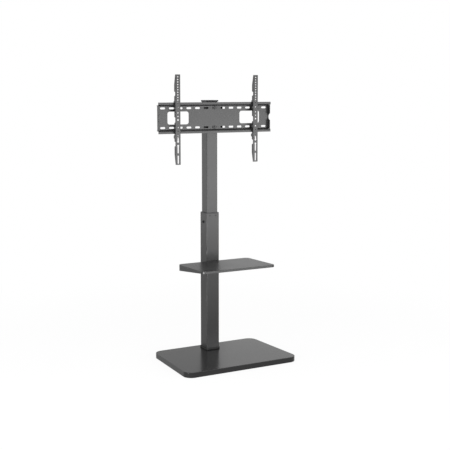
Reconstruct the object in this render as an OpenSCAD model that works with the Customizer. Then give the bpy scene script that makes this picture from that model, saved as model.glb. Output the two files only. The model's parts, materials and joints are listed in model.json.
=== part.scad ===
// Floor stand with a height-adjustable column, a shelf and a screen mount with two hook-on arms.
// Millimetres. X runs to the viewer's right, the front faces -Y, Z is up.
// The origin is on the floor, under the middle of the base.

/* [Base] */
// Width of the base at its front edge
base_front_w = 660; // [600:5:720]
// Width of the base at its rear edge
base_rear_w = 614; // [560:2:660]
// Depth of the base from front to rear
base_depth = 450; // [400:2:500]
// Thickness of the base board
base_th = 28; // [22:1:36]
// Radius of the base's corners in plan
base_corner_r = 45; // [30:1:60]
// Diameter of a rubber foot
foot_d = 36; // [24:1:46]
// Height that a rubber foot stands out under the board
foot_th = 1; // [1:0.5:6]

/* [Column] */
// Distance from the base's rear edge to the column's axis
column_setback = 70.5; // [60:0.5:90]
// Outer width of the square lower tube
lower_w = 75; // [70:0.5:85]
// Outer corner radius of the lower tube
lower_r = 4; // [3.5:0.5:8]
// Length of the lower tube
lower_len = 746; // [700:2:800]
// Outer width of the square upper tube
upper_w = 63; // [56:0.5:64]
// Outer corner radius of the upper tube
upper_r = 4; // [3.5:0.5:8]
// Length of the upper tube
upper_len = 690; // [640:2:740]
// Wall thickness of both tubes
tube_wall = 2; // [1.5:0.1:2.5]
// Length of the upper tube inside the lower one in the highest setting
column_overlap = 96; // [94:1:110]

/* [Column fittings] */
// Height of the collar's rim on top of the lower tube
collar_rim_h = 5; // [3:0.5:8]
// Length of the collar's sleeve inside the lower tube
collar_len = 32; // [20:1:34]
// Outer width of the cap on top of the column
cap_w = 72; // [67:0.5:73]
// Height of the cap's rim
cap_h = 8; // [5:0.5:12]
// Height of the trim ring round the column's foot
trim_h = 8; // [4:0.5:12]
// Height of the lock screw below the lower tube's top end
lock_drop = 46; // [44:0.5:56]

/* [Mount plate] */
// Width of the mount plate over its lips
plate_w = 666; // [640:1:700]
// Height of the mount plate over both lips
plate_h = 160; // [152:1:170]
// Depth from the plate's web to the front of its lips
plate_depth = 20; // [16:0.5:22]
// Sheet thickness of the mount plate
plate_th = 2.5; // [2:0.1:3]
// Height of a lip above its rail's flange
lip_h = 14; // [12.5:0.5:16]
// Distance from the column's axis to the front face of the plate's web
plate_offset = 57.5; // [54:0.5:64]
// Distance from the column's top end down to the plate's middle
plate_drop = 82; // [80:1:100]
// Distance between neighbouring slots
slot_pitch = 50; // [46:0.5:52]
// Distance between the two rows of slots
slot_rows = 100; // [96:1:104]
// Length of a slot
slot_len = 28.5; // [24:0.5:32]
// Height of a slot
slot_w = 10; // [8.5:0.5:11]
// Width of a window
window_w = 122; // [100:1:130]
// Height of a window
window_h = 66; // [50:1:72]
// Distance from the plate's end to a window
window_inset = 60; // [46:1:72]

/* [Arms] */
// Length of an arm
arm_len = 460; // [440:2:480]
// Width of an arm
arm_w = 28.5; // [26:0.5:32]
// Sheet thickness of an arm
arm_th = 2; // [1.5:0.1:2.5]
// Depth of an arm's side flanges
arm_flange = 15; // [12:0.5:15]
// Distance from the plate's web to the front face of an arm
arm_standoff = 35.5; // [35.5:0.5:40]
// Distance from the plate's end to an arm's middle
arm_inset = 103; // [50:1:200]
// Length of an arm above the plate's upper lip
arm_rise = 141.5; // [124:0.5:152]
// Diameter of the screen fixing holes
arm_hole_d = 6.5; // [5:0.25:8]
// Distance between neighbouring small holes
arm_hole_pitch = 13; // [11:0.5:14]
// Number of small holes in a row at the top
arm_hole_count = 11; // [6:1:11]
// Step of the screen fixing pattern
pattern_step = 100; // [98:1:102]

/* [Shelf] */
// Width of the shelf
shelf_w = 426; // [340:1:460]
// Depth of the shelf
shelf_d = 295; // [260:5:340]
// Height of the shelf's rear edge above the floor
shelf_z = 519; // [440:1:521]
// Upward tilt of the shelf towards its front, in degrees
shelf_tilt = 1.4; // [0:0.1:2]
// Sheet thickness of the shelf
shelf_th = 2; // [1.5:0.1:3]
// Height of the shelf's rear flange
shelf_rear_h = 32; // [26:0.5:40]
// Height of the shelf's front lip
shelf_front_h = 12; // [8:0.5:18]
// Radius of the shelf's corners in plan
shelf_corner_r = 25; // [3:0.5:30]

/* [Hidden] */
$fn = 64;
// Overrun of every cut past the faces that it opens
cut = 1;
// Gap between pieces that slide along each other
slide_gap = 0.3;
// Gap round a piece that is seated in another piece of its own body
seat_gap = 0.1;
// Radial gap between a thread and its hole
thread_gap = 0.05;
// Radial gap between a bolt and a plain hole
bolt_gap = 0.5;
// Straight pieces in each round corner of an outline
arc_steps = 12;
bend_steps = 6;

// Bolt sizes: shank, head across and head height of the M8, M6 and M5 fasteners
m8_d = 8;
m8_head_d = 14;
m8_head_h = 4.5;
m8_hex_w = 15;
m8_nut_h = 6.5;
m6_d = 6;
m6_head_d = 11;
m6_head_h = 3.5;
m6_hex_w = 11.5;
m6_nut_h = 5;
m5_d = 5;
m5_nut_w = 9.2;
m5_nut_h = 4;
m5_len = 10;
socket_share = 0.4;
dome_share = 0.72;

// Base
base_top = foot_th + base_th;
column_y = base_depth / 2 - column_setback;
recess_w = 120;
recess_h = 10;
underplate_th = 3;
underplate_gap = 1;
base_bolt_pitch = 40;
foot_plate_th = 8;
// Places of the rubber feet, as shares of the half width and the half depth
foot_shares = [[-1, -1], [0, -1], [1, -1], [-1, 1], [-0.4, 1], [0.4, 1], [1, 1]];
foot_inset_share = 0.55;

// Column
lower_top = base_top + lower_len;
upper_bottom = lower_top - column_overlap;
upper_top = upper_bottom + upper_len;
lower_bore_w = lower_w - 2 * tube_wall;
lower_bore_r = lower_r - tube_wall;
upper_bore_w = upper_w - 2 * tube_wall;
upper_bore_r = upper_r - tube_wall;
lower_front_y = column_y - lower_w / 2;
upper_front_y = column_y - upper_w / 2;
collar_inset = 0.4;
trim_wall = 4;
shoe_rim = 3;
shoe_len = 44;
cap_plug_h = 15;
cap_plug_wall = 2.5;
// Distance that the cap stands out behind the column
cap_back = 1;
rivet_d = 4;
rivet_head_d = 7;
rivet_head_h = 1;
rivet_x = 17.5;
rivet_drop = 11;
rivet_len_share = 0.8;

// Height lock
lock_z = lower_top - lock_drop;
lock_nut_h = 3.2;
lock_nut_d = 14;
lock_head_h = 5;
lock_head_d = 13;
lock_washer_h = 1;

// Mount plate
plate_y = column_y - plate_offset;
plate_z = upper_top - plate_drop;
window_x = plate_w / 2 - window_inset - window_w / 2;
slots_each_side = floor((plate_w / 2 - slot_len) / slot_pitch);
plate_bend_r = 4;
rail_z = plate_h / 2 - lip_h - plate_th;
window_r = 12;
end_gap = 1;
// Distance from the lips' ends to the outer face of an end flange
end_inset = 3;
notch_r = 18;
notch_depth_share = 0.8;

// Head bracket between the column and the plate
bracket_w = 100;
bracket_h = 130;
bracket_th = 3;
bracket_d = upper_front_y - plate_y - plate_th;
washer_len = 24;
washer_w = 16;
washer_h = 1.6;

// Arms
arm_x = plate_w / 2 - arm_inset;
arm_top = plate_h / 2 + arm_rise;
arm_bottom = arm_top - arm_len;
hook_back = arm_standoff - plate_depth + plate_th + slide_gap;
hook_seat = plate_h / 2 + slide_gap;
arm_end_flange = 3;
arm_notch_flange = 4;
arm_bend_r = 2.5;
tooth_th = 4;
tooth_bite_share = 0.66;
hook_h = 6;
hook_slope = 4;
lobe_depth = 24;
lobe_h = 16;
tab_th = 2.5;
tab_drop = 14;
lock_tip_gap = 0.4;
tab_z = -plate_h / 2 - tab_drop;
arm_first_hole = 12.2;
// Lower round holes: distance under the first hole, in steps of the fixing pattern
arm_low_hole_shares = [1.55, 1.82, 2, 2.18];
arm_big_hole_share = 1.35;
// Dark locating holes near the lower rail: height over the arm's lower end, as a share of its length
arm_dot_shares = [0.324, 0.375];
arm_dot_share = 0.75;
// Upright slots: lower and upper end over the arm's lower end, as shares of its length
arm_slot_shares = [[0.012, 0.104], [0.128, 0.224], [0.246, 0.311], [0.409, 0.442]];
arm_slot_w = 7.5;
// Wide ends of the two keyhole slots: height as a share of the arm's length
arm_keyhole_shares = [0.212, 0.258];
arm_keyhole_d = 10.5;
// The side flange's free stretches under the lobe and over the hook
arm_tail = tab_z - lobe_h / 2 - hook_slope - arm_bottom;
arm_head = arm_top - hook_seat - hook_h - hook_slope;
// Tapers of a side flange: lengths at its ends, as shares of those stretches
arm_low_taper_share = 0.385;
arm_high_taper_share = 0.405;
// Cut-outs of a side flange: lower and upper end, as shares of the stretch that they lie in
arm_tail_cutout_share = [0.703, 0.908];
arm_head_cutout_share = [0.164, 0.346];
// Cut-out behind the plate's middle: lower and upper end, as shares of the plate's height
arm_plate_cutout_share = [-0.154, 0.041];
arm_cutout_slope = 4;

// Shelf
shelf_back_th = 3;
shelf_back_w = 70;
shelf_back_h = 48;
shelf_back_drop = 8;
shelf_arm_w = 70;
shelf_arm_th = 2.5;
shelf_arm_len = 210;
shelf_arm_nose_h = 12;
shelf_arm_r = 6;
shelf_weld_share = 0.8;
shelf_y = lower_front_y - shelf_back_th - slide_gap;
shelf_notch_w = shelf_arm_w + 2 * shelf_arm_th;
shelf_stud_x = 22;
shelf_stud_y = [-60, -180];
shelf_bolt_x = 18;
shelf_bolt_z = [-20, -42];
rivet_nut_d = 9;
rivet_nut_h = 7;

// A length of one along a vector
function unit(v) = v / norm(v);

// Points of a round corner at p, between the neighbours a and b
function corner_arc(a, p, b, r) =
    let (
        u = unit(a - p),
        w = unit(b - p),
        half = acos(u * w) / 2,
        c = p + unit(u + w) * r / sin(half),
        s = p + u * r / tan(half) - c,
        e = p + w * r / tan(half) - c,
        a0 = atan2(s.y, s.x),
        raw = atan2(e.y, e.x) - a0,
        turn = raw > 180 ? raw - 360 : raw < -180 ? raw + 360 : raw
    )
    [for (i = [0:arc_steps]) let (t = a0 + turn * i / arc_steps) c + r * [cos(t), sin(t)]];

// An outline with all its corners rounded alike
function rounded(points, r) =
    let (n = len(points))
    [for (i = [0:n - 1]) each corner_arc(points[(i + n - 1) % n], points[i], points[(i + 1) % n], r)];

// Points of a sheet's bend round the centre c
function bend(c, r, a0, a1) =
    [for (i = [0:bend_steps]) let (t = a0 + (a1 - a0) * i / bend_steps) c + r * [cos(t), sin(t)]];

// A list in reverse order, mirrored about the line y = 0
function mirrored(points) = [for (i = [len(points) - 1:-1:0]) [points[i].x, -points[i].y]];

// A list in reverse order, mirrored about the line x = 0
function mirrored_x(points) = [for (i = [len(points) - 1:-1:0]) [-points[i].x, points[i].y]];

// A rectangle with true round corners, centred
module round_rect(w, d, r) {
    square([w - 2 * r, d], center = true);
    square([w, d - 2 * r], center = true);
    for (x = [-1, 1], y = [-1, 1])
        translate([x * (w / 2 - r), y * (d / 2 - r)])
            circle(r);
}

// A slot with round ends along X, centred
module slot_2d(length, w) {
    square([length - w, w], center = true);
    for (x = [-1, 1])
        translate([x * (length - w) / 2, 0])
            circle(w / 2);
}

// A square ring with round corners, standing on z = 0
module square_ring(outer_w, outer_r, inner_w, inner_r, h) {
    linear_extrude(h)
        difference() {
            round_rect(outer_w, outer_w, outer_r);
            round_rect(inner_w, inner_w, inner_r);
        }
}

// Places its children at the column's axis
module at_column(z) {
    translate([0, column_y, z])
        children();
}

// Turns a piece that points up so that it points to the front
module facing_front() {
    rotate([90, 0, 0])
        children();
}

// A bolt with a domed socket head: the head's seat is at z = 0 and the shank goes down
module socket_bolt(d, length, head_d, head_h) {
    difference() {
        union() {
            cylinder(d1 = head_d, d2 = head_d * dome_share, h = head_h);
            translate([0, 0, -length])
                cylinder(d = d, h = length + head_h / 2);
        }
        translate([0, 0, head_h / 2])
            cylinder(d = head_d * socket_share, h = head_h, $fn = 6);
    }
}

// A hexagon head bolt with its seat at z = 0 and its shank going up
module hex_bolt(d, length, hex_w, head_h) {
    translate([0, 0, -head_h])
        cylinder(d = hex_w, h = head_h, $fn = 6);
    cylinder(d = d, h = length);
}

// A hexagon nut standing on z = 0
module hex_nut(d, hex_w, h) {
    difference() {
        cylinder(d = hex_w, h = h, $fn = 6);
        translate([0, 0, -cut])
            cylinder(r = d / 2 + thread_gap, h = h + 2 * cut);
    }
}

// Places of the four base bolts
module at_base_bolts(z) {
    for (x = [-1, 1], y = [-1, 1])
        translate([x * base_bolt_pitch / 2, column_y + y * base_bolt_pitch / 2, z])
            children();
}

// Outline of the base, wider in front
function base_outline() = [
    [-base_front_w / 2, -base_depth / 2],
    [base_front_w / 2, -base_depth / 2],
    [base_rear_w / 2, base_depth / 2],
    [-base_rear_w / 2, base_depth / 2]
];

// Painted board with a recess under the column
module base_board() {
    color("#4a4a4c")
        difference() {
            translate([0, 0, foot_th])
                linear_extrude(base_th)
                    polygon(rounded(base_outline(), base_corner_r));
            translate([0, column_y, foot_th - cut])
                linear_extrude(recess_h + cut)
                    round_rect(recess_w, recess_w, lower_r);
            at_base_bolts(0)
                cylinder(r = m8_d / 2 + bolt_gap, h = base_top + cut);
        }
}

// Rubber pads under the board
module base_feet() {
    inset = foot_d * foot_inset_share + base_corner_r / 2;
    color("#1c1c1d")
        for (s = foot_shares)
            translate([
                s.x * ((s.y < 0 ? base_front_w : base_rear_w) / 2 - inset),
                s.y * (base_depth / 2 - inset),
                0
            ])
                cylinder(d = foot_d, h = foot_th);
}

// Steel plate that spreads the bolts' load under the board
module base_underplate() {
    color("#8d8f92")
        difference() {
            translate([0, column_y, foot_th + recess_h - underplate_th])
                linear_extrude(underplate_th)
                    round_rect(recess_w - 2 * underplate_gap, recess_w - 2 * underplate_gap, lower_r);
            at_base_bolts(0)
                cylinder(r = m8_d / 2 + bolt_gap, h = base_top);
        }
}

// Four bolts from below, through the board, into the foot plate
module base_bolts() {
    seat = foot_th + recess_h - underplate_th;
    color("#8d8f92")
        at_base_bolts(seat)
            hex_bolt(m8_d, base_top + foot_plate_th - seat, m8_hex_w, m8_head_h);
}

// Steel plate in the lower tube's foot, tapped for the base bolts
module foot_plate() {
    color("#8d8f92")
        difference() {
            at_column(base_top)
                linear_extrude(foot_plate_th)
                    round_rect(
                        lower_bore_w - 2 * seat_gap,
                        lower_bore_w - 2 * seat_gap,
                        lower_bore_r - seat_gap
                    );
            at_base_bolts(base_top - cut)
                cylinder(r = m8_d / 2 + thread_gap, h = foot_plate_th + 2 * cut);
        }
}

// Trim ring round the column's foot
module foot_trim() {
    color("#222223")
        at_column(base_top)
            square_ring(
                lower_w + 2 * trim_wall,
                lower_r + trim_wall,
                lower_w + 2 * seat_gap,
                lower_r + seat_gap,
                trim_h
            );
}

// Places of the four collar rivets, pointing away from the column
module at_collar_rivets() {
    for (x = [-1, 1], turn = [0, 180])
        at_column(lower_top - rivet_drop)
            rotate([0, 0, turn])
                translate([x * rivet_x, -lower_w / 2, 0])
                    facing_front()
                        children();
}

// Places of the four shelf bolts, pointing to the front from the lower tube's front face
module at_shelf_bolts() {
    for (x = [-1, 1], z = shelf_bolt_z)
        translate([x * shelf_bolt_x, lower_front_y, shelf_z + z])
            facing_front()
                children();
}

// Lower square tube
module lower_column() {
    color("#5a5a5c")
        difference() {
            at_column(base_top)
                square_ring(lower_w, lower_r, lower_bore_w, lower_bore_r, lower_len);
            at_collar_rivets()
                translate([0, 0, -tube_wall - cut])
                    cylinder(r = rivet_d / 2 + thread_gap, h = tube_wall + 2 * cut);
            at_column(lock_z)
                translate([-lower_w / 2 - cut, 0, 0])
                    rotate([0, 90, 0])
                        cylinder(r = m8_d / 2 + bolt_gap, h = tube_wall + 2 * cut);
            at_shelf_bolts()
                translate([0, 0, -tube_wall - cut])
                    cylinder(r = rivet_nut_d / 2 + thread_gap, h = tube_wall + 2 * cut);
        }
}

// Guide collar: a rim on the lower tube and a sleeve inside it
module column_collar() {
    hole_w = upper_w + 2 * slide_gap;
    hole_r = upper_r + slide_gap;
    color("#1f1f20")
        difference() {
            union() {
                at_column(lower_top)
                    square_ring(
                        lower_w - 2 * collar_inset,
                        lower_r - collar_inset,
                        hole_w,
                        hole_r,
                        collar_rim_h
                    );
                at_column(lower_top - collar_len)
                    square_ring(
                        lower_bore_w - 2 * seat_gap,
                        lower_bore_r - seat_gap,
                        hole_w,
                        hole_r,
                        collar_len
                    );
            }
            at_collar_rivets()
                translate([0, 0, -(lower_w - hole_w) / 2 - cut])
                    cylinder(r = rivet_d / 2 + thread_gap, h = (lower_w - hole_w) / 2 + 2 * cut);
        }
}

// Rivets that hold the collar in the lower tube
module collar_rivets() {
    color("#3c3c3e")
        at_collar_rivets() {
            rivet_len = (lower_w - upper_w) / 2 * rivet_len_share;
            cylinder(d1 = rivet_head_d, d2 = rivet_head_d * dome_share, h = rivet_head_h);
            translate([0, 0, -rivet_len])
                cylinder(d = rivet_d, h = rivet_len);
        }
}

// Places its children at the height lock, pointing away from the column's left face
module at_height_lock() {
    at_column(lock_z)
        translate([-lower_w / 2, 0, 0])
            rotate([0, -90, 0])
                children();
}

// Flat nut welded inside the lower tube
module height_lock_nut() {
    color("#8d8f92")
        at_height_lock()
            translate([0, 0, -tube_wall - lock_nut_h])
                difference() {
                    cylinder(d = lock_nut_d, h = lock_nut_h);
                    translate([0, 0, -cut])
                        cylinder(r = m8_d / 2 + thread_gap, h = lock_nut_h + 2 * cut);
                }
}

// Clamp screw that holds the upper tube at its height
module height_lock_screw() {
    color("#161617")
        at_height_lock() {
            translate([0, 0, lock_washer_h])
                socket_bolt(
                    m8_d,
                    (lower_w - upper_w) / 2 - slide_gap + lock_washer_h,
                    lock_head_d,
                    lock_head_h
                );
            translate([0, 0, slide_gap])
                cylinder(d = lock_head_d, h = lock_washer_h);
        }
}

// Places of the two bolts that hold the plate to the column, pointing to the front
module at_head_bolts(y) {
    for (z = [-1, 1])
        translate([0, y, plate_z + z * slot_rows / 2])
            facing_front()
                children();
}

// Upper square tube
module upper_column() {
    color("#6a6a6c")
        difference() {
            at_column(upper_bottom)
                square_ring(upper_w, upper_r, upper_bore_w, upper_bore_r, upper_len);
            at_head_bolts(upper_front_y)
                translate([0, 0, -tube_wall - cut])
                    cylinder(r = m8_d / 2 + bolt_gap, h = tube_wall + 2 * cut);
        }
}

// Plastic shoe on the upper tube's lower end
module guide_shoe() {
    shoe_w = lower_bore_w - 2 * slide_gap;
    shoe_r = lower_bore_r - slide_gap;
    color("#1f1f20") {
        at_column(upper_bottom - shoe_rim)
            square_ring(shoe_w, shoe_r, upper_bore_w, upper_bore_r, shoe_rim);
        at_column(upper_bottom)
            square_ring(shoe_w, shoe_r, upper_w + 2 * seat_gap, upper_r + seat_gap, shoe_len - shoe_rim);
    }
}

// Plastic cap on the upper tube's top end
module column_cap() {
    plug_w = upper_bore_w - 2 * seat_gap;
    plug_r = upper_bore_r - seat_gap;
    cap_r = upper_r + (cap_w - upper_w) / 2;
    color("#19191a") {
        at_column(upper_top)
            translate([0, (upper_w - cap_w) / 2 + cap_back, 0])
                linear_extrude(cap_h)
                    round_rect(cap_w, cap_w, cap_r);
        at_column(upper_top - cap_plug_h)
            square_ring(plug_w, plug_r, plug_w - 2 * cap_plug_wall, plug_r - cap_plug_wall / 2, cap_plug_h);
    }
}

// Channel between the column and the plate, open to the front
module head_bracket() {
    color("#2c2c2d")
        difference() {
            translate([-bracket_w / 2, upper_front_y - bracket_d, plate_z - bracket_h / 2])
                difference() {
                    cube([bracket_w, bracket_d, bracket_h]);
                    translate([bracket_th, -cut, -cut])
                        cube([
                            bracket_w - 2 * bracket_th,
                            bracket_d - bracket_th + cut,
                            bracket_h + 2 * cut
                        ]);
                }
            at_head_bolts(upper_front_y)
                translate([0, 0, -cut])
                    cylinder(r = m8_d / 2 + bolt_gap, h = bracket_th + 2 * cut);
        }
}

// Bolts through the plate, the bracket and the column's front wall
module head_bolts() {
    color("#6f7072")
        at_head_bolts(plate_y)
            translate([0, 0, washer_h])
                socket_bolt(
                    m8_d,
                    washer_h + plate_th + bracket_d + tube_wall + m8_nut_h,
                    m8_head_d,
                    m8_head_h
                );
}

// Long washers over the plate's middle slots
module head_washers() {
    color("#77787a")
        at_head_bolts(plate_y)
            linear_extrude(washer_h)
                difference() {
                    slot_2d(washer_len, washer_w);
                    circle(r = m8_d / 2 + bolt_gap);
                }
}

// Nuts welded inside the upper tube
module head_nuts() {
    color("#8d8f92")
        at_head_bolts(upper_front_y)
            translate([0, 0, -tube_wall - m8_nut_h])
                hex_nut(m8_d, m8_hex_w, m8_nut_h);
}

// Half of the plate's cross-section, from its middle to the upper lip: [forward, up]
function plate_half() = concat(
    bend([plate_bend_r, rail_z - plate_bend_r], plate_bend_r, 180, 90),
    bend(
        [plate_depth - plate_bend_r - plate_th, rail_z + plate_bend_r + plate_th],
        plate_bend_r + plate_th, -90, 0
    ),
    [[plate_depth, plate_h / 2], [plate_depth - plate_th, plate_h / 2]],
    bend(
        [plate_depth - plate_bend_r - plate_th, rail_z + plate_bend_r + plate_th],
        plate_bend_r, 0, -90
    ),
    bend([plate_bend_r, rail_z - plate_bend_r], plate_bend_r + plate_th, 90, 180)
);

// Places its children on the plate's middle, X across and Y up, pointing to the front
module at_plate() {
    translate([0, plate_y, plate_z])
        facing_front()
            children();
}

// Wide sheet plate with a rail along each long edge, slots, windows and end flanges
module mount_plate() {
    end_h = 2 * (rail_z - end_gap);
    end_x = plate_w / 2 - end_inset;
    color("#58585a")
        difference() {
            union() {
                translate([-plate_w / 2, plate_y, plate_z])
                    rotate([90, 0, 90])
                        linear_extrude(plate_w)
                            polygon([for (p = concat(plate_half(), mirrored(plate_half()))) [-p.x, p.y]]);
                for (side = [-1, 1])
                    at_plate()
                        translate([side * (end_x - plate_th / 2), 0, (plate_depth - plate_th) / 2])
                            cube([plate_th, end_h, plate_depth + plate_th], center = true);
            }
            for (side = [-1, 1])
                at_plate()
                    translate([side * (end_x + (end_inset + cut) / 2), 0, 0])
                        cube([end_inset + cut, end_h, 4 * plate_th], center = true);
            for (column = [-slots_each_side:slots_each_side], row = [-1, 1])
                at_plate()
                    translate([column * slot_pitch, row * slot_rows / 2, -plate_th - cut])
                        linear_extrude(plate_th + 2 * cut)
                            slot_2d(slot_len, slot_w);
            for (side = [-1, 1])
                at_plate()
                    translate([side * window_x, 0, -plate_th - cut])
                        linear_extrude(plate_th + 2 * cut)
                            round_rect(window_w, window_h, window_r);
            for (side = [-1, 1])
                at_plate()
                    translate([
                        side * (end_x - plate_th / 2),
                        0,
                        plate_depth + notch_r - plate_depth * notch_depth_share
                    ])
                        rotate([0, 90, 0])
                            cylinder(r = notch_r, h = plate_th + 2 * cut, center = true);
        }
}

// Height over the plate's middle of a share of the arm's length
function arm_z(share) = arm_bottom + share * arm_len;

// One cut-out in a side flange: its four points, from a start height, a stretch and two shares of it
function arm_cutout(start, stretch, s) = [
    [arm_flange, start + s[0] * stretch],
    [arm_notch_flange, start + s[0] * stretch + arm_cutout_slope],
    [arm_notch_flange, start + s[1] * stretch - arm_cutout_slope],
    [arm_flange, start + s[1] * stretch]
];

// Side flange of an arm: [back from the front face, height over the plate's middle]
function arm_side() = concat(
    [
        [0, arm_bottom],
        [arm_end_flange, arm_bottom],
        [arm_flange, arm_bottom + arm_low_taper_share * arm_tail]
    ],
    arm_cutout(arm_bottom, arm_tail, arm_tail_cutout_share),
    [
        [arm_flange, tab_z - lobe_h / 2 - hook_slope],
        [lobe_depth, tab_z - lobe_h / 2],
        [lobe_depth, tab_z + lobe_h / 4],
        [arm_flange, tab_z + lobe_h / 2]
    ],
    arm_cutout(0, plate_h, arm_plate_cutout_share),
    [
        [arm_flange, hook_seat],
        [hook_back, hook_seat],
        [hook_back, hook_seat - lip_h * tooth_bite_share],
        [hook_back + tooth_th, hook_seat - lip_h * tooth_bite_share],
        [hook_back + tooth_th, hook_seat + hook_h],
        [arm_flange, hook_seat + hook_h + hook_slope]
    ],
    arm_cutout(arm_top - arm_head, arm_head, arm_head_cutout_share),
    [[arm_flange, arm_top - arm_high_taper_share * arm_head], [arm_end_flange, arm_top], [0, arm_top]]
);

// Places its children on an arm's front face at the plate's height, X across and Y up, pointing forward
module at_arm(side) {
    translate([side * arm_x, plate_y - arm_standoff, plate_z])
        facing_front()
            children();
}

// Round holes, slots and keyholes in an arm's front face
module arm_openings() {
    first = arm_top - arm_first_hole;
    for (i = [0:arm_hole_count - 1])
        translate([0, first - i * arm_hole_pitch])
            circle(d = arm_hole_d);
    for (share = arm_low_hole_shares)
        translate([0, first - share * pattern_step])
            circle(d = arm_hole_d);
    translate([0, first - arm_low_hole_shares[3] * pattern_step])
        circle(d = arm_hole_d * arm_big_hole_share);
    for (share = arm_dot_shares)
        translate([0, arm_z(share)])
            circle(d = arm_hole_d * arm_dot_share);
    for (s = arm_slot_shares)
        translate([0, arm_z((s[0] + s[1]) / 2)])
            rotate(90)
                slot_2d((s[1] - s[0]) * arm_len, arm_slot_w);
    for (share = arm_keyhole_shares)
        translate([0, arm_z(share)])
            circle(d = arm_keyhole_d);
}

// Cross-section of an arm's channel: [across, back from the front face]
function arm_half() = concat(
    [[arm_w / 2, lobe_depth + cut]],
    bend([arm_w / 2 - arm_bend_r, arm_bend_r], arm_bend_r, 0, -90)
);
function arm_inner_half() = concat(
    bend([arm_w / 2 - arm_bend_r, arm_bend_r], arm_bend_r - arm_th, -90, 0),
    [[arm_w / 2 - arm_th, lobe_depth + cut]]
);

// The arm's channel over its whole length, pointing forward
module arm_channel() {
    translate([0, arm_bottom, 0])
        rotate([-90, 0, 0])
            linear_extrude(arm_len)
                polygon(concat(
                    arm_half(),
                    mirrored_x(arm_half()),
                    mirrored_x(arm_inner_half()),
                    arm_inner_half()
                ));
}

// Hook-on arm: a channel with shaped side flanges, a hook over the upper lip and a tab for the lock screw
module arm(side) {
    color("#565658") {
        difference() {
            at_arm(side)
                intersection() {
                    arm_channel();
                    rotate([0, 90, 0])
                        linear_extrude(arm_w + 2 * cut, center = true)
                            polygon(arm_side());
                }
            at_arm(side)
                translate([0, 0, -arm_th - cut])
                    linear_extrude(arm_th + 2 * cut)
                        arm_openings();
        }
        difference() {
            at_arm(side)
                translate([-arm_w / 2 + arm_th / 2, tab_z - tab_th / 2, -lobe_depth])
                    cube([arm_w - arm_th, tab_th, lobe_depth - arm_th / 2]);
            at_arm_lock(side)
                cylinder(r = m6_d / 2 + bolt_gap, h = 2 * tab_th, center = true);
        }
    }
}

// Places its children on the middle of an arm's tab, under the lower lip
module at_arm_lock(side) {
    translate([side * arm_x, plate_y - plate_depth + plate_th / 2, plate_z + tab_z])
        children();
}

// Nut welded under an arm's tab
module arm_nut(side) {
    color("#8d8f92")
        at_arm_lock(side)
            translate([0, 0, -tab_th / 2 - m6_nut_h])
                hex_nut(m6_d, m6_hex_w, m6_nut_h);
}

// Lock screw that is turned up against the lower lip
module arm_lock_screw(side) {
    tip = tab_drop - lock_tip_gap;
    color("#161617")
        at_arm_lock(side)
            translate([0, 0, -tab_th / 2 - m6_nut_h - lobe_h / 4])
                rotate([180, 0, 0])
                    socket_bolt(
                        m6_d,
                        tip + tab_th / 2 + m6_nut_h + lobe_h / 4,
                        m6_head_d,
                        m6_head_h
                    );
}

// Places its children on the shelf's rear top edge, tilted with the shelf
module at_shelf() {
    translate([0, shelf_y, shelf_z])
        rotate([-shelf_tilt, 0, 0])
            children();
}

// Places of the four studs under the shelf's sheet
module at_shelf_studs() {
    for (x = [-1, 1], y = shelf_stud_y)
        at_shelf()
            translate([x * shelf_stud_x, y, -shelf_th])
                children();
}

// Sheet tray with a front lip, tapered side flanges and a rear flange
module shelf_tray() {
    color("#4e4e50")
        difference() {
            at_shelf()
                translate([0, -shelf_d / 2, -shelf_rear_h])
                    linear_extrude(shelf_rear_h)
                        round_rect(shelf_w, shelf_d, shelf_corner_r);
            at_shelf()
                translate([0, -shelf_d / 2, -shelf_rear_h - cut])
                    linear_extrude(shelf_rear_h + cut - shelf_th)
                        round_rect(
                            shelf_w - 2 * shelf_th,
                            shelf_d - 2 * shelf_th,
                            shelf_corner_r - shelf_th
                        );
            at_shelf()
                rotate([90, 0, 90])
                    linear_extrude(shelf_w + 2 * cut, center = true)
                        polygon([
                            [-shelf_corner_r, -shelf_rear_h],
                            [-shelf_d + shelf_corner_r, -shelf_front_h],
                            [-shelf_d - cut, -shelf_front_h],
                            [-shelf_d - cut, -shelf_rear_h - cut],
                            [-shelf_corner_r, -shelf_rear_h - cut]
                        ]);
            at_shelf()
                translate([-shelf_notch_w / 2, -shelf_th - cut, -shelf_rear_h - cut])
                    cube([shelf_notch_w, shelf_th + 2 * cut, shelf_rear_h + cut - shelf_th]);
        }
}

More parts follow.
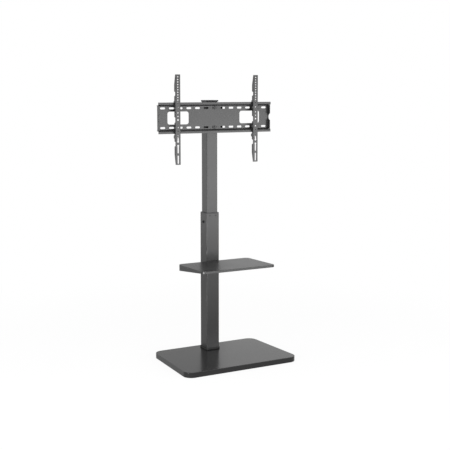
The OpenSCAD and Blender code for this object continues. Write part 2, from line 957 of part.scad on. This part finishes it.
// Steel bracket under the shelf: a back plate on the column and a channel that carries the tray
module shelf_bracket() {
    under = -shelf_th - seat_gap;
    weld_y = shelf_back_th * shelf_weld_share;
    color("#3a3a3b")
        difference() {
            union() {
                translate([
                    -shelf_back_w / 2,
                    lower_front_y - shelf_back_th,
                    shelf_z - shelf_back_drop - shelf_back_h
                ])
                    cube([shelf_back_w, shelf_back_th, shelf_back_h + shelf_back_drop / 2]);
                at_shelf()
                    difference() {
                        rotate([90, 0, 90])
                            linear_extrude(shelf_arm_w, center = true)
                                polygon([
                                    [weld_y, under],
                                    [weld_y, -shelf_back_drop - shelf_back_h + shelf_arm_r],
                                    [-shelf_arm_len + shelf_arm_r, under - shelf_arm_nose_h],
                                    [-shelf_arm_len, under - shelf_arm_nose_h + shelf_arm_r],
                                    [-shelf_arm_len, under]
                                ]);
                        translate([
                            -shelf_arm_w / 2 + shelf_arm_th,
                            -shelf_arm_len - cut,
                            -shelf_back_drop - shelf_back_h
                        ])
                            cube([
                                shelf_arm_w - 2 * shelf_arm_th,
                                shelf_arm_len + cut + weld_y,
                                shelf_back_drop + shelf_back_h + under - shelf_arm_th
                            ]);
                    }
            }
            at_shelf_bolts()
                translate([0, 0, -cut])
                    cylinder(r = m6_d / 2 + bolt_gap, h = shelf_back_th + 2 * cut);
            at_shelf_studs()
                translate([0, 0, -shelf_arm_th - 2 * cut])
                    cylinder(r = m5_d / 2 + bolt_gap, h = shelf_arm_th + 2 * cut);
        }
}

// Studs welded under the tray, through the bracket
module shelf_studs() {
    color("#8d8f92")
        at_shelf_studs()
            translate([0, 0, -m5_len])
                cylinder(d = m5_d, h = m5_len);
}

// Nuts on the studs, under the bracket
module shelf_nuts() {
    color("#8d8f92")
        at_shelf_studs()
            translate([0, 0, -seat_gap - shelf_arm_th - m5_nut_h])
                hex_nut(m5_d, m5_nut_w, m5_nut_h);
}

// Bolts that hold the shelf's bracket to the column
module shelf_bolts() {
    color("#2b2b2c")
        at_shelf_bolts()
            translate([0, 0, shelf_back_th])
                socket_bolt(m6_d, shelf_back_th + rivet_nut_h, m6_head_d, m6_head_h);
}

// Rivet nuts in the lower tube's front wall
module shelf_rivet_nuts() {
    color("#8d8f92")
        at_shelf_bolts()
            translate([0, 0, -rivet_nut_h])
                difference() {
                    cylinder(d = rivet_nut_d, h = rivet_nut_h);
                    translate([0, 0, -cut])
                        cylinder(r = m6_d / 2 + thread_gap, h = rivet_nut_h + 2 * cut);
                }
}

base_board();
base_feet();
base_underplate();
base_bolts();
foot_plate();
foot_trim();
lower_column();
column_collar();
collar_rivets();
height_lock_nut();
height_lock_screw();
upper_column();
guide_shoe();
column_cap();
head_bracket();
head_bolts();
head_washers();
head_nuts();
mount_plate();
arm(-1);  // left_arm
arm(1);  // right_arm
arm_nut(-1);  // left_arm_nut
arm_nut(1);  // right_arm_nut
arm_lock_screw(-1);  // left_arm_lock_screw
arm_lock_screw(1);  // right_arm_lock_screw
shelf_tray();
shelf_bracket();
shelf_studs();
shelf_nuts();
shelf_bolts();
shelf_rivet_nuts();
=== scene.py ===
"""Floor stand with a telescoping column, a shelf and a screen mount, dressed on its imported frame."""

import json
import math

import bmesh
import bpy
from bpy.props import FloatProperty, FloatVectorProperty, IntProperty, PointerProperty
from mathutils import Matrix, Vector


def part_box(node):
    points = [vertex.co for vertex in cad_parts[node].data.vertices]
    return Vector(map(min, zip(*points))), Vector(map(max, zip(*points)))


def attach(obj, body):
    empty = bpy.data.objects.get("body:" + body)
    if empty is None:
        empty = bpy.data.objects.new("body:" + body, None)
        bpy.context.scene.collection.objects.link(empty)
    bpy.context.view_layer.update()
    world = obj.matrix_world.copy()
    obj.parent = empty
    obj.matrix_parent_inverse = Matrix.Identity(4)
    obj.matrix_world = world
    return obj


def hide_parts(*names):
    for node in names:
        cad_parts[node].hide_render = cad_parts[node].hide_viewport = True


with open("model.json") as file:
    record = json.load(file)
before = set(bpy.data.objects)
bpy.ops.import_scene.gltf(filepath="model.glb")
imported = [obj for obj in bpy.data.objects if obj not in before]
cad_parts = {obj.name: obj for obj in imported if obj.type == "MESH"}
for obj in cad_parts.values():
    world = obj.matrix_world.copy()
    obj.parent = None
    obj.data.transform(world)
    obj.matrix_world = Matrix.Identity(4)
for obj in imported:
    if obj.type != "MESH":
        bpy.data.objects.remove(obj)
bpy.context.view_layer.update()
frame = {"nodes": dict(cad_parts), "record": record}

bl_info = {
    "name": "Screen floor stand",
    "version": (1, 0, 0),
    "blender": (4, 5, 0),
    "location": "View3D > Sidebar > Stand",
    "description": "Rounds and finishes the pieces of a screen floor stand and sets its stage",
    "category": "Object",
}

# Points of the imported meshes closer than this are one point
WELD = 1e-6
# Points closer to a plane than this lie in it
IN_PLANE = 1e-5
# Neighbouring faces flatter than this are one face
FLAT = math.radians(0.4)
# Edges sharper than this are rounded
SHARP = math.radians(32)
# A face whose normal has more of the upward direction than this faces up
UPWARD = 0.9
# The recess under the board reaches less than this beyond the plate in it
RECESS_ROOM = 0.004
# The tray's cut edges are further below its top than this
FOLD_DEPTH = 0.004
# Middle of an even noise from 0 to 1
NOISE_MIDDLE = 0.5
# Power of a square metre of lamp whose face looks plain white
WHITE_POWER = math.pi
# Sockets of a colour Mix node, whose names repeat
MIX_FACTOR, MIX_FIRST, MIX_SECOND, MIX_RESULT = 0, 6, 7, 2
# Surface sockets of a Mix Shader node, whose names repeat
SHADER_FIRST, SHADER_SECOND = 1, 2


# Kinds of settings


def length(name, description, default):
    return FloatProperty(
        name=name, description=description, default=default, min=0.0, unit="LENGTH", precision=5
    )


def angle(name, description, degrees):
    return FloatProperty(name=name, description=description, default=math.radians(degrees), unit="ROTATION")


def colour(name, description, default):
    return FloatVectorProperty(
        name=name, description=description, default=default, size=3, min=0.0, max=1.0, subtype="COLOR"
    )


def share(name, description, default):
    return FloatProperty(
        name=name, description=description, default=default, min=0.0, max=1.0, subtype="FACTOR"
    )


def level(name, description, default):
    return FloatProperty(name=name, description=description, default=default, min=0.0)


def place(name, description, default):
    return FloatVectorProperty(
        name=name, description=description, default=default, size=3, subtype="TRANSLATION", unit="LENGTH"
    )


class StandEdges(bpy.types.PropertyGroup):
    """Edge roundings of the pieces"""

    board: length("Board edge", "Rounding of the base board's upper edge", 0.0012)
    board_foot: length("Board lower edge", "Rounding of the base board's lower edge", 0.0012)
    sheet: length("Sheet edge", "Rounding of a cut edge of sheet metal", 0.0002)
    shelf_fold: length("Shelf fold", "Rounding along the shelf's folds", 0.0016)
    tube: length("Tube edge", "Rounding of a tube's end", 0.0004)
    cap: length("Cap and trim edge", "Rounding of the column's cap and of its foot trim", 0.0006)
    guide: length("Guide edge", "Rounding of the collar and the guide shoe", 0.00024)
    screw: length("Screw edge", "Rounding of a screw, bolt, washer or rivet", 0.0004)
    pad: length("Pad edge", "Rounding of a rubber pad", 0.0003)
    steps: IntProperty(name="Steps", description="Faces across a rounding", default=3, min=1, max=6)


class StandFinishes(bpy.types.PropertyGroup):
    """Colours, roughness and shine of the finishes. A shine of 0.5 mirrors as plain paint does."""

    coat: colour("Powder coat", "Colour of the tubes, plate, arms and shelf", (0.0095, 0.0095, 0.0098))
    coat_roughness: share("Powder coat roughness", "Roughness of the powder coat", 0.33)
    coat_shine: share("Powder coat shine", "Mirror strength of the powder coat", 0.5)
    bracket: colour("Bracket coat", "Colour of the brackets", (0.01, 0.01, 0.01))
    bracket_roughness: share("Bracket roughness", "Roughness of the brackets", 0.6)
    bracket_shine: share("Bracket shine", "Mirror strength of the brackets", 0.12)
    lacquer: colour("Lacquer", "Colour of the base board", (0.0055, 0.0055, 0.0057))
    lacquer_roughness: share("Lacquer roughness", "Roughness of the base board", 0.22)
    plastic: colour("Plastic", "Colour of the collar, cap and guide shoe", (0.05, 0.05, 0.052))
    plastic_roughness: share("Plastic roughness", "Roughness of the plastic", 0.6)
    plastic_shine: share("Plastic shine", "Mirror strength of the plastic", 0.15)
    black_steel: colour("Black steel", "Colour of the blackened screws", (0.02, 0.02, 0.021))
    black_steel_roughness: share("Black steel roughness", "Roughness of the blackened screws", 0.34)
    zinc: colour("Zinc", "Colour of the zinc plated steel", (0.56, 0.57, 0.58))
    zinc_roughness: share("Zinc roughness", "Roughness of the zinc plated steel", 0.36)
    rubber: colour("Rubber", "Colour of the pads and the foot trim", (0.012, 0.012, 0.012))
    rubber_roughness: share("Rubber roughness", "Roughness of the rubber", 0.8)
    rubber_shine: share("Rubber shine", "Mirror strength of the rubber", 0.3)


class StandStage(bpy.types.PropertyGroup):
    """Floor, light and camera. A panel's brightness is 1 where it looks plain white."""

    floor: colour("Floor", "Colour of the floor", (0.96, 0.96, 0.96))
    floor_size: length("Floor size", "Half the width of the floor", 30.0)
    floor_white: share("Floor white", "Share of plain white in the floor beside the stand", 0.9)
    floor_near: length("Floor near", "Distance at which the floor starts to turn plain white", 0.7)
    floor_far: length("Floor far", "Distance at which the floor is plain white", 2.4)
    ambient: level("Ambient", "Level of the even light from all round", 0.5)
    mirrored: level("Mirrored room", "Level at which the surfaces mirror the white room", 0.64)
    front: level("Front panel", "Brightness of the wide panel in front", 4.8)
    front_place: place("Front panel place", "Middle of the front panel", (0.45, -3.0, 0.82))
    front_width: length("Front panel width", "Width of the front panel", 5.7)
    front_height: length("Front panel height", "Height of the front panel", 1.5)
    side: level("Side panel", "Brightness of the panel that the left sides mirror", 0.8)
    side_place: place("Side panel place", "Middle of the side panel", (-1.75, 2.6, 1.15))
    side_width: length("Side panel width", "Width of the side panel", 1.5)
    side_height: length("Side panel height", "Height of the side panel", 1.9)
    edge: level("Edge panel", "Brightness of the narrow panel that lights the left edges", 55.0)
    edge_place: place("Edge panel place", "Middle of the edge panel", (-2.45, -0.9, 0.14))
    edge_width: length("Edge panel width", "Width of the edge panel", 0.7)
    edge_height: length("Edge panel height", "Height of the edge panel", 0.28)
    corner: level("Corner panel", "Brightness of the panel in front on the left", 3.4)
    corner_place: place("Corner panel place", "Middle of the corner panel", (-2.6, -1.5, 0.82))
    corner_width: length("Corner panel width", "Width of the corner panel", 2.4)
    corner_height: length("Corner panel height", "Height of the corner panel", 1.5)
    rear: level("Rear panel", "Brightness of the panel that the flat tops mirror on the right", 0.25)
    rear_place: place("Rear panel place", "Middle of the rear panel", (2.7, 2.5, 1.35))
    rear_width: length("Rear panel width", "Width of the rear panel", 2.6)
    rear_height: length("Rear panel height", "Height of the rear panel", 2.2)
    top: level("Top panel", "Brightness of the panel overhead", 0.9)
    top_place: place("Top panel place", "Middle of the top panel", (0.0, 0.0, 3.2))
    top_width: length("Top panel width", "Width of the top panel", 3.0)
    top_height: length("Top panel depth", "Depth of the top panel", 3.0)
    aim: place("Aim", "Point that the panels face", (0.0, 0.1, 0.9))
    camera_place: place("Camera place", "Place of the camera", (-2.36812, -4.33245, 1.43401))
    camera_down: angle("Camera pitch", "Angle of the view below the horizon", 8.14)
    camera_turn: angle("Camera turn", "Angle of the view to the right of the +Y axis", 28.76)
    camera_lens: FloatProperty(
        name="Lens", description="Focal length in millimetres on a 36 mm sensor", default=75.95, min=1.0
    )


# Shader maths


class Signal:
    """A number that changes over a surface or from ray to ray. Arithmetic on it adds Math nodes."""

    def __init__(self, nodes, socket):
        self.nodes = nodes
        self.socket = socket

    def _math(self, operation, *values):
        return self.nodes.node("ShaderNodeMath", {"operation": operation}, dict(enumerate(values)))

    def __add__(self, other):
        return self._math("ADD", self, other)

    __radd__ = __add__

    def __sub__(self, other):
        return self._math("SUBTRACT", self, other)

    def __rsub__(self, other):
        return self._math("SUBTRACT", other, self)

    def __mul__(self, other):
        return self._math("MULTIPLY", self, other)

    __rmul__ = __mul__

    def mixed(self, other, part):
        """This signal with a part of another one in it."""
        return self * (1.0 - part) + other * part

    def swing(self, amount):
        """How far an even noise is from its middle, times an amount."""
        return (self - NOISE_MIDDLE) * amount

    def above(self, low, high):
        """0 below low, 1 above high, and smooth between them."""
        return self.nodes.node(
            "ShaderNodeMapRange",
            {"interpolation_type": "SMOOTHSTEP"},
            {"Value": self, "From Min": low, "From Max": high},
        )


class Nodes:
    """A node tree that is built from Python values and signals."""

    def __init__(self, tree):
        self.tree = tree

    def node(self, kind, settings=None, values=None, output=0):
        """Adds one node: first its settings, then the values or links of its sockets."""
        node = self.tree.nodes.new(kind)
        for key, value in (settings or {}).items():
            setattr(node, key, value)
        for key, value in (values or {}).items():
            self.feed(node.inputs[key], value)
        return Signal(self, node.outputs[output])

    def feed(self, socket, value):
        if isinstance(value, Signal):
            self.tree.links.new(value.socket, socket)
        else:
            socket.default_value = value

    def ray(self, kind):
        """1 for the rays of a kind, and 0 for the others."""
        return self.node("ShaderNodeLightPath", output=f"Is {kind} Ray")


class Finish(Nodes):
    """A procedural material with one Principled surface."""

    def __init__(self, name, **surface):
        self.material = bpy.data.materials.new(name)
        self.material.use_nodes = True
        super().__init__(self.material.node_tree)
        self.surface = self.tree.nodes["Principled BSDF"]
        self.place = self.node("ShaderNodeTexCoord", output="Object")
        self.set(**surface)

    def set(self, **surface):
        """Sets inputs of the surface, with a blank in a name written as an underscore."""
        for key, value in surface.items():
            self.feed(self.surface.inputs[key.replace("_", " ")], value)

    def noise(self, scale, detail=2.0, roughness=0.5):
        """An even noise from 0 to 1, with scale cells in a metre."""
        return self.node(
            "ShaderNodeTexNoise",
            {"noise_dimensions": "3D"},
            {"Vector": self.place, "Scale": scale, "Detail": detail, "Roughness": roughness},
        )

    def tones(self, amount, tone, darkest=1.0, lightest=1.0):
        """A tone that runs from one share of itself to another."""
        dark, light = (
            (*(min(1.0, channel * factor) for channel in tone), 1.0) for factor in (darkest, lightest)
        )
        return self.node(
            "ShaderNodeMix",
            {"data_type": "RGBA"},
            {MIX_FACTOR: amount, MIX_FIRST: dark, MIX_SECOND: light},
            MIX_RESULT,
        )

    def bump(self, height, depth, strength):
        """Lifts the surface by a height signal, where depth is the lift at 1, in metres."""
        values = {"Height": height, "Distance": depth, "Strength": strength}
        self.set(Normal=self.node("ShaderNodeBump", None, values, "Normal"))


# Materials


def powder_coat(name, tone, roughness, shine):
    """Satin powder coat with a fine orange peel."""
    finish = Finish(name, Specular_IOR_Level=shine)
    cloud = finish.noise(scale=9.0, detail=3.0)
    peel = finish.noise(scale=720.0)
    speck = finish.noise(scale=2600.0, detail=1.0)
    finish.set(
        Base_Color=finish.tones(cloud.mixed(speck, 0.4), tone, darkest=0.84, lightest=1.16),
        Roughness=cloud.swing(0.06) + speck.swing(0.08) + roughness,
    )
    finish.bump(peel.mixed(speck, 0.2), depth=0.00004, strength=0.5)


def sprayed_lacquer(name, tone, roughness):
    """Sprayed lacquer on a board, with long soft waves and dust-fine grain."""
    finish = Finish(name)
    wave = finish.noise(scale=14.0)
    grain = finish.noise(scale=1500.0, detail=1.0)
    finish.set(
        Base_Color=finish.tones(wave.mixed(grain, 0.3), tone, darkest=0.9, lightest=1.1),
        Roughness=wave.swing(0.05) + grain.swing(0.05) + roughness,
    )
    finish.bump(wave.mixed(grain, 0.7), depth=0.00003, strength=0.35)


def moulded_plastic(name, tone, roughness, shine):
    """Black plastic with a fine eroded texture."""
    finish = Finish(name, Specular_IOR_Level=shine)
    pits = finish.noise(scale=1900.0, detail=3.0, roughness=0.6)
    cloud = finish.noise(scale=30.0)
    finish.set(
        Base_Color=finish.tones(pits, tone, darkest=0.8, lightest=1.25),
        Roughness=pits.swing(0.12) + cloud.swing(0.05) + roughness,
    )
    finish.bump(pits, depth=0.00006, strength=0.5)


def plated_steel(name, tone, roughness):
    """Plated steel with fine marks and a mottled tone."""
    finish = Finish(name, Metallic=1.0)
    mottle = finish.noise(scale=260.0, detail=3.0)
    marks = finish.noise(scale=3400.0)
    finish.set(
        Base_Color=finish.tones(mottle, tone, darkest=0.82, lightest=1.12),
        Roughness=mottle.swing(0.14) + marks.swing(0.1) + roughness,
    )
    finish.bump(marks, depth=0.00002, strength=0.4)


def dusty_rubber(name, tone, roughness, shine):
    """Matt rubber with patches of dust."""
    finish = Finish(name, Specular_IOR_Level=shine)
    dust = finish.noise(scale=420.0, detail=4.0, roughness=0.65)
    finish.set(
        Base_Color=finish.tones(dust.above(low=0.45, high=0.75), tone, lightest=2.2),
        Roughness=dust.swing(0.15) + roughness,
    )
    finish.bump(dust, depth=0.00008, strength=0.6)


def white_floor(stage):
    """Pale floor that keeps the shadow beside the stand and turns plain white further out."""
    finish = Finish("floor", Specular_IOR_Level=0.0, Roughness=0.9)
    finish.set(Base_Color=finish.tones(finish.noise(scale=3.0), stage.floor, darkest=0.99))
    distance = finish.node(
        "ShaderNodeVectorMath", {"operation": "LENGTH"}, {"Vector": finish.place}, "Value"
    )
    far = distance.above(stage.floor_near, stage.floor_far)
    white = far * (1.0 - stage.floor_white) + stage.floor_white
    mirror = finish.ray("Glossy")
    seen = finish.ray("Camera") + finish.ray("Transmission") + mirror
    lit = Signal(finish, finish.surface.outputs["BSDF"])
    glow = finish.node("ShaderNodeEmission", None, {"Strength": 1.0 - mirror * (1.0 - stage.mirrored)})
    both = finish.node(
        "ShaderNodeMixShader", None, {"Fac": seen * white, SHADER_FIRST: lit, SHADER_SECOND: glow}
    )
    finish.feed(finish.tree.nodes["Material Output"].inputs["Surface"], both)
    return finish.material


# The maker of each of the record's material slots, and the settings that it takes
MAKERS = {
    "powder_coat": (powder_coat, "coat", "coat_roughness", "coat_shine"),
    "bracket_coat": (powder_coat, "bracket", "bracket_roughness", "bracket_shine"),
    "board": (sprayed_lacquer, "lacquer", "lacquer_roughness"),
    "black_plastic": (moulded_plastic, "plastic", "plastic_roughness", "plastic_shine"),
    "black_steel": (plated_steel, "black_steel", "black_steel_roughness"),
    "zinc": (plated_steel, "zinc", "zinc_roughness"),
    "rubber": (dusty_rubber, "rubber", "rubber_roughness", "rubber_shine"),
}


def material(slot):
    """The finish of a material slot, made when it is first asked for."""
    name = "stand " + slot
    if name not in bpy.data.materials:
        maker, *settings = MAKERS[slot]
        finishes = bpy.context.scene.stand_finishes
        maker(name, *(getattr(finishes, setting) for setting in settings))
    return bpy.data.materials[name]


# Pieces


def slot_of(node):
    """The record's material slot of a CAD node."""
    return next(part["material_slot"] for part in frame["record"]["subparts"] if part["node"] == node)


def body_of(node):
    """The name of the body that a CAD node belongs to."""
    bodies = frame["record"]["behaviour"]["bodies"]
    return next(body for body, members in bodies.items() if node in members)


def merged(node):
    """A copy of a CAD node's mesh with its points joined and its flat areas made whole."""
    work = bmesh.new()
    work.from_mesh(frame["nodes"][node].data)
    bmesh.ops.remove_doubles(work, verts=work.verts, dist=WELD)
    bmesh.ops.dissolve_limit(work, angle_limit=FLAT, verts=work.verts, edges=work.edges)
    return work


def sharp_edges(work, wanted=None):
    """The edges to round: the sharp ones, or those of them that a test picks."""
    return [
        edge for edge in work.edges
        if edge.is_manifold and edge.calc_face_angle(0.0) > SHARP and (wanted is None or wanted(edge))
    ]


def rounded(work, width, wanted=None):
    """Rounds the picked edges of a worked mesh."""
    bmesh.ops.bevel(
        work, geom=sharp_edges(work, wanted), offset=width, offset_type="OFFSET", affect="EDGES",
        segments=bpy.context.scene.stand_edges.steps, profile=0.5, material=-1, clamp_overlap=False,
    )


def place_piece(name, work, node):
    """Turns a worked mesh into the piece that stands for a CAD node."""
    mesh = bpy.data.meshes.new(name)
    work.to_mesh(mesh)
    work.free()
    mesh.polygons.foreach_set("use_smooth", [True] * len(mesh.polygons))
    mesh.materials.append(material(slot_of(node)))
    piece = bpy.data.objects.new(name, mesh)
    bpy.context.scene.collection.objects.link(piece)
    soften = piece.modifiers.new("Even shading", "WEIGHTED_NORMAL")
    soften.keep_sharp = True
    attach(piece, body_of(node))
    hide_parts(node)


def rounded_piece(name, node, width):
    """The piece that stands for a CAD node, with all its sharp edges rounded."""
    work = merged(node)
    rounded(work, width)
    place_piece(name, work, node)


def finished_node(node):
    """A CAD node that stays, with its finish."""
    piece = frame["nodes"][node]
    if not piece.material_slots:
        piece.data.materials.append(None)
    for holder in piece.material_slots:
        holder.material = material(slot_of(node))


class STAND_OT_base(bpy.types.Operator):
    """Round the base board's outer edges and its rubber pads"""

    bl_idname = "stand.base"
    bl_label = "Base"

    def execute(self, context):
        edges = context.scene.stand_edges
        low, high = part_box("base_board")
        work = merged("base_board")
        rounded(work, edges.board, lambda edge: self.at_height(edge, high.z))
        rounded(
            work, edges.board_foot,
            lambda edge: self.at_height(edge, low.z) and not self.by_recess(edge),
        )
        place_piece("board", work, "base_board")
        rounded_piece("pads", "base_feet", edges.pad)
        return {"FINISHED"}

    @staticmethod
    def at_height(edge, height):
        return all(abs(vert.co.z - height) < WELD for vert in edge.verts)

    @staticmethod
    def by_recess(edge):
        """Whether an edge of the underside touches the recess's rim."""
        low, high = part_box("base_underplate")
        return any(
            low.x - RECESS_ROOM < vert.co.x < high.x + RECESS_ROOM
            and low.y - RECESS_ROOM < vert.co.y < high.y + RECESS_ROOM
            for vert in edge.verts
        )


class STAND_OT_trim(bpy.types.Operator):
    """Round the trim ring round the column's foot"""

    bl_idname = "stand.trim"
    bl_label = "Foot trim"

    def execute(self, context):
        rounded_piece("trim", "foot_trim", context.scene.stand_edges.cap)
        return {"FINISHED"}


class STAND_OT_tubes(bpy.types.Operator):
    """Round the ends of the two tubes"""

    bl_idname = "stand.tubes"
    bl_label = "Tubes"

    def execute(self, context):
        for name, node in (("lower_tube", "lower_column"), ("upper_tube", "upper_column")):
            rounded_piece(name, node, context.scene.stand_edges.tube)
        return {"FINISHED"}


class STAND_OT_plastics(bpy.types.Operator):
    """Round the collar, the guide shoe and the cap"""

    bl_idname = "stand.plastics"
    bl_label = "Plastic fittings"

    def execute(self, context):
        edges = context.scene.stand_edges
        rounded_piece("collar", "column_collar", edges.guide)
        rounded_piece("shoe", "guide_shoe", edges.guide)
        rounded_piece("cap", "column_cap", edges.cap)
        return {"FINISHED"}


class STAND_OT_plate(bpy.types.Operator):
    """Round the mount plate's cut edges and the bracket behind it"""

    bl_idname = "stand.plate"
    bl_label = "Mount plate"

    def execute(self, context):
        edges = context.scene.stand_edges
        rounded_piece("plate", "mount_plate", edges.sheet)
        rounded_piece("channel", "head_bracket", edges.sheet)
        return {"FINISHED"}


class STAND_OT_arms(bpy.types.Operator):
    """Round the cut edges of the two arms"""

    bl_idname = "stand.arms"
    bl_label = "Arms"

    def execute(self, context):
        for side in ("left", "right"):
            rounded_piece(side + "_hook_arm", side + "_arm", context.scene.stand_edges.sheet)
        return {"FINISHED"}


class STAND_OT_shelf(bpy.types.Operator):
    """Round the shelf's folds and cut edges and the bracket under it"""

    bl_idname = "stand.shelf"
    bl_label = "Shelf"

    def execute(self, context):
        edges = context.scene.stand_edges
        work = merged("shelf_tray")
        corner, up = self.top_plane(work)

        def heights(edge):
            """The heights of an edge's ends over the tray's top."""
            return [(vert.co - corner).dot(up) for vert in edge.verts]

        rounded(work, edges.shelf_fold, lambda edge: all(abs(end) < IN_PLANE for end in heights(edge)))
        rounded(work, edges.sheet, lambda edge: all(end < -FOLD_DEPTH for end in heights(edge)))
        place_piece("tray", work, "shelf_tray")
        rounded_piece("shelf_support", "shelf_bracket", edges.sheet)
        return {"FINISHED"}

    @staticmethod
    def top_plane(work):
        """A point of the tray's top face, and the face's normal."""
        upward = [face for face in work.faces if face.normal.z > UPWARD]
        top = max(upward, key=lambda face: face.calc_area())
        return top.verts[0].co.copy(), top.normal.copy()


class STAND_OT_screws(bpy.types.Operator):
    """Round the screws, bolts, washers and rivets that show"""

    bl_idname = "stand.screws"
    bl_label = "Screws"

    def execute(self, context):
        for name, node in (
            ("height_clamp", "height_lock_screw"),
            ("left_clamp", "left_arm_lock_screw"),
            ("right_clamp", "right_arm_lock_screw"),
            ("plate_bolts", "head_bolts"),
            ("plate_washers", "head_washers"),
            ("rivets", "collar_rivets"),
            ("support_bolts", "shelf_bolts"),
        ):
            rounded_piece(name, node, context.scene.stand_edges.screw)
        return {"FINISHED"}


class STAND_OT_steel(bpy.types.Operator):
    """Finish the steel hardware inside and under the stand"""

    bl_idname = "stand.steel"
    bl_label = "Hidden steel"

    def execute(self, context):
        for node in sorted(frame["nodes"]):
            if slot_of(node) == "zinc":
                finished_node(node)
        return {"FINISHED"}


class STAND_OT_stage(bpy.types.Operator):
    """Set the floor, the room's light, the panels and the camera"""

    bl_idname = "stand.stage"
    bl_label = "Stage"

    def execute(self, context):
        stage = context.scene.stand_stage
        context.scene.view_settings.view_transform = "Standard"
        self.floor(stage)
        self.world(context.scene, stage)
        for side in ("front", "side", "edge", "corner", "rear", "top"):
            self.panel(side, stage)
        self.camera(context.scene, stage)
        return {"FINISHED"}

    @staticmethod
    def floor(stage):
        work = bmesh.new()
        bmesh.ops.create_grid(work, x_segments=1, y_segments=1, size=stage.floor_size)
        mesh = bpy.data.meshes.new("floor")
        work.to_mesh(mesh)
        work.free()
        mesh.materials.append(white_floor(stage))
        piece = bpy.data.objects.new("floor", mesh)
        bpy.context.scene.collection.objects.link(piece)

    @staticmethod
    def world(scene, stage):
        """A white room: plain white where it is seen, and dimmer where it lights the stand."""
        scene.world = bpy.data.worlds.new("white room")
        scene.world.use_nodes = True
        room = Nodes(scene.world.node_tree)
        seen = room.ray("Camera") + room.ray("Transmission")
        mirror = room.ray("Glossy") * (stage.mirrored - stage.ambient)
        sky = room.tree.nodes["Background"]
        room.feed(sky.inputs["Color"], (1.0, 1.0, 1.0, 1.0))
        room.feed(sky.inputs["Strength"], seen * (1.0 - stage.ambient) + mirror + stage.ambient)

    @staticmethod
    def panel(side, stage):
        """A flat soft light on one side of the stand, whose face is as bright as asked."""
        middle, width, height = (getattr(stage, f"{side}_{part}") for part in ("place", "width", "height"))
        light = bpy.data.lights.new(side + "_panel", "AREA")
        light.shape = "RECTANGLE"
        light.size = width
        light.size_y = height
        light.energy = getattr(stage, side) * WHITE_POWER * width * height
        lamp = bpy.data.objects.new(side + "_panel", light)
        lamp.location = middle
        lamp.rotation_euler = (Vector(stage.aim) - Vector(middle)).to_track_quat("-Z", "Y").to_euler()
        lamp.visible_camera = False
        bpy.context.scene.collection.objects.link(lamp)

    @staticmethod
    def camera(scene, stage):
        data = bpy.data.cameras.new("camera")
        data.sensor_width = 36.0
        data.lens = stage.camera_lens
        data.clip_start = 0.05
        data.clip_end = 200.0
        camera = bpy.data.objects.new("camera", data)
        camera.location = stage.camera_place
        camera.rotation_euler = (math.pi / 2 - stage.camera_down, 0.0, -stage.camera_turn)
        scene.collection.objects.link(camera)
        scene.camera = camera


STEPS = (
    STAND_OT_base, STAND_OT_trim, STAND_OT_tubes, STAND_OT_plastics, STAND_OT_plate, STAND_OT_arms,
    STAND_OT_shelf, STAND_OT_screws, STAND_OT_steel, STAND_OT_stage,
)


class STAND_PT_panel(bpy.types.Panel):
    """Lists the stand's settings and steps"""

    bl_idname = "STAND_PT_panel"
    bl_label = "Screen floor stand"
    bl_space_type = "VIEW_3D"
    bl_region_type = "UI"
    bl_category = "Stand"

    def draw(self, context):
        for group in GROUPS:
            settings = getattr(context.scene, group)
            box = self.layout.box()
            for key in settings.bl_rna.properties.keys():
                if key not in ("rna_type", "name"):
                    box.prop(settings, key)
        for step in STEPS:
            self.layout.operator(step.bl_idname)


GROUPS = {"stand_edges": StandEdges, "stand_finishes": StandFinishes, "stand_stage": StandStage}


def register():
    for group in GROUPS.values():
        bpy.utils.register_class(group)
    for name, group in GROUPS.items():
        setattr(bpy.types.Scene, name, PointerProperty(type=group))
    for step in STEPS:
        bpy.utils.register_class(step)
    bpy.utils.register_class(STAND_PT_panel)


def unregister():
    bpy.utils.unregister_class(STAND_PT_panel)
    for step in reversed(STEPS):
        bpy.utils.unregister_class(step)
    for name in GROUPS:
        delattr(bpy.types.Scene, name)
    for group in GROUPS.values():
        bpy.utils.unregister_class(group)


def main():
    register()
    for step in STEPS:
        space, name = step.bl_idname.split(".")
        getattr(getattr(bpy.ops, space), name)()


if __name__ == "__main__":
    main()
